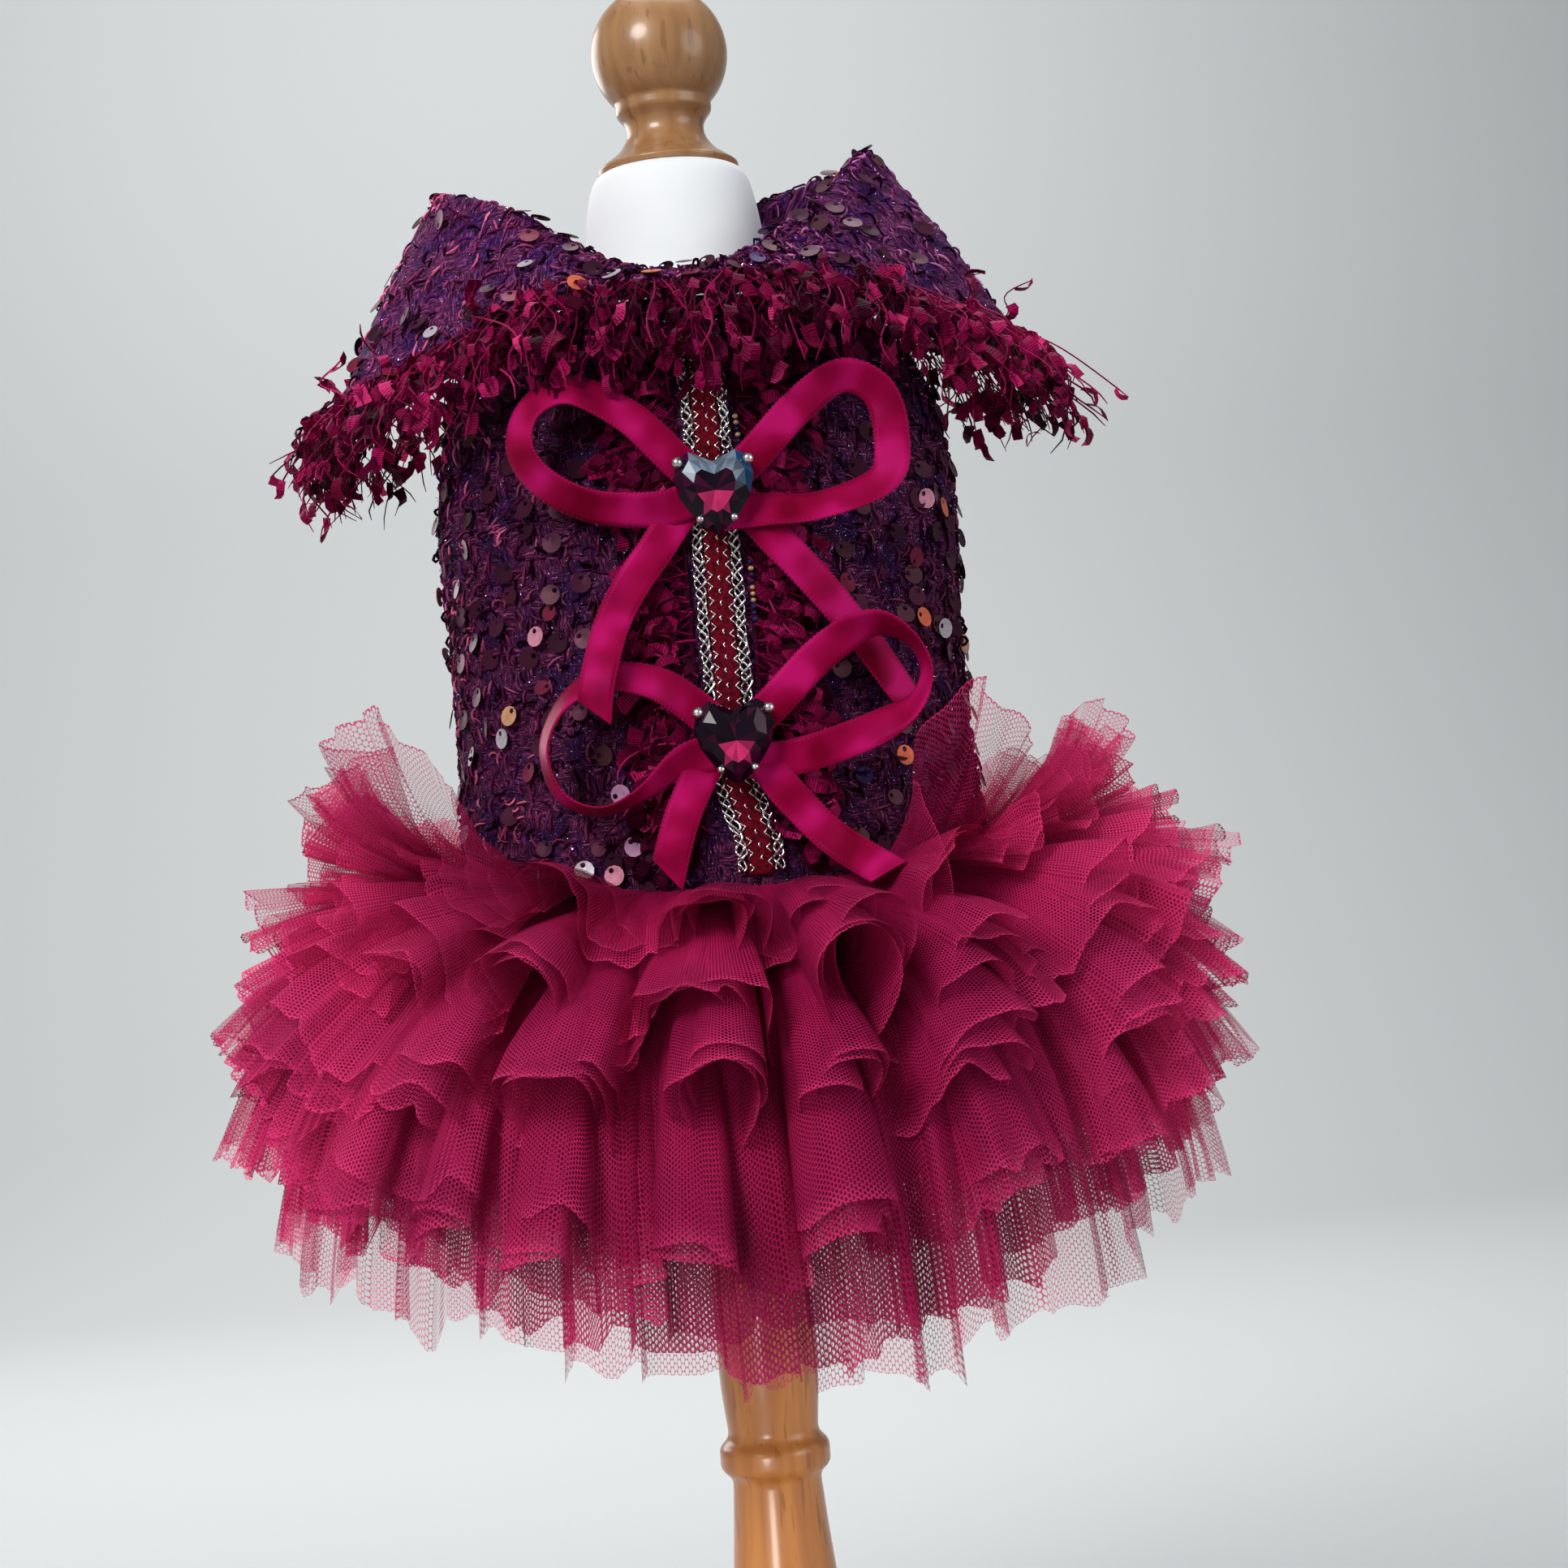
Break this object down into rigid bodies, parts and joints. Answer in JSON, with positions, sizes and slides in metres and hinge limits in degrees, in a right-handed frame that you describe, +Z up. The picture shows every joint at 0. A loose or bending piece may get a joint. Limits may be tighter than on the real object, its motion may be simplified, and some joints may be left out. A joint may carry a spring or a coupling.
{
  "type": "dog tutu dress on a dress form",
  "caption": "Small dog's tutu dress with a fringed cape collar, ribbon bows and a tiered tulle skirt, worn by a limbless dress form on a turned stand.",
  "frame": {"origin": "centre of the stand base's underside", "axes": "+Z up the post, -Y towards the decorated side with the bows, +X to the right as seen from that side"},
  "size_m": [0.3123, 0.289, 0.5873],
  "materials": {
    "beech": "clear semi-gloss varnish on turned beech",
    "form_cover": "plain white stretch cover",
    "sequin_tweed": "plum and navy tweed with lurex and loose round sequins",
    "ladder_yarn": "crimson ladder yarn fringe",
    "velvet": "dark crimson velvet",
    "silver_braid": "silver metallic chain stitch and bright claws",
    "satin": "magenta double-faced satin ribbon with a woven edge",
    "crystal": "faceted dark burgundy crystal",
    "tulle": "raspberry hexagonal net"
  },
  "bodies": {
    "root": {"stand_base": "beech", "stand_post": "beech", "finial": "beech", "form_torso": "form_cover", "back_panel": "sequin_tweed", "belly_panel_left": "sequin_tweed", "belly_panel_right": "sequin_tweed", "collar": "sequin_tweed", "collar_fringe": "ladder_yarn", "placket_fringe_left": "ladder_yarn", "placket_fringe_right": "ladder_yarn", "braid_velvet": "velvet", "braid_chain_left": "silver_braid", "braid_chain_right": "silver_braid", "bow_top": "satin", "bow_top_tails": "satin", "bow_bottom": "satin", "bow_bottom_tails": "satin", "setting_top": "silver_braid", "setting_bottom": "silver_braid", "heart_top": "crystal", "heart_bottom": "crystal", "tulle_tier_1": "tulle", "tulle_tier_2": "tulle", "tulle_tier_3": "tulle", "tulle_tier_4": "tulle", "tulle_tier_5": "tulle"}
  },
  "joints": []
}
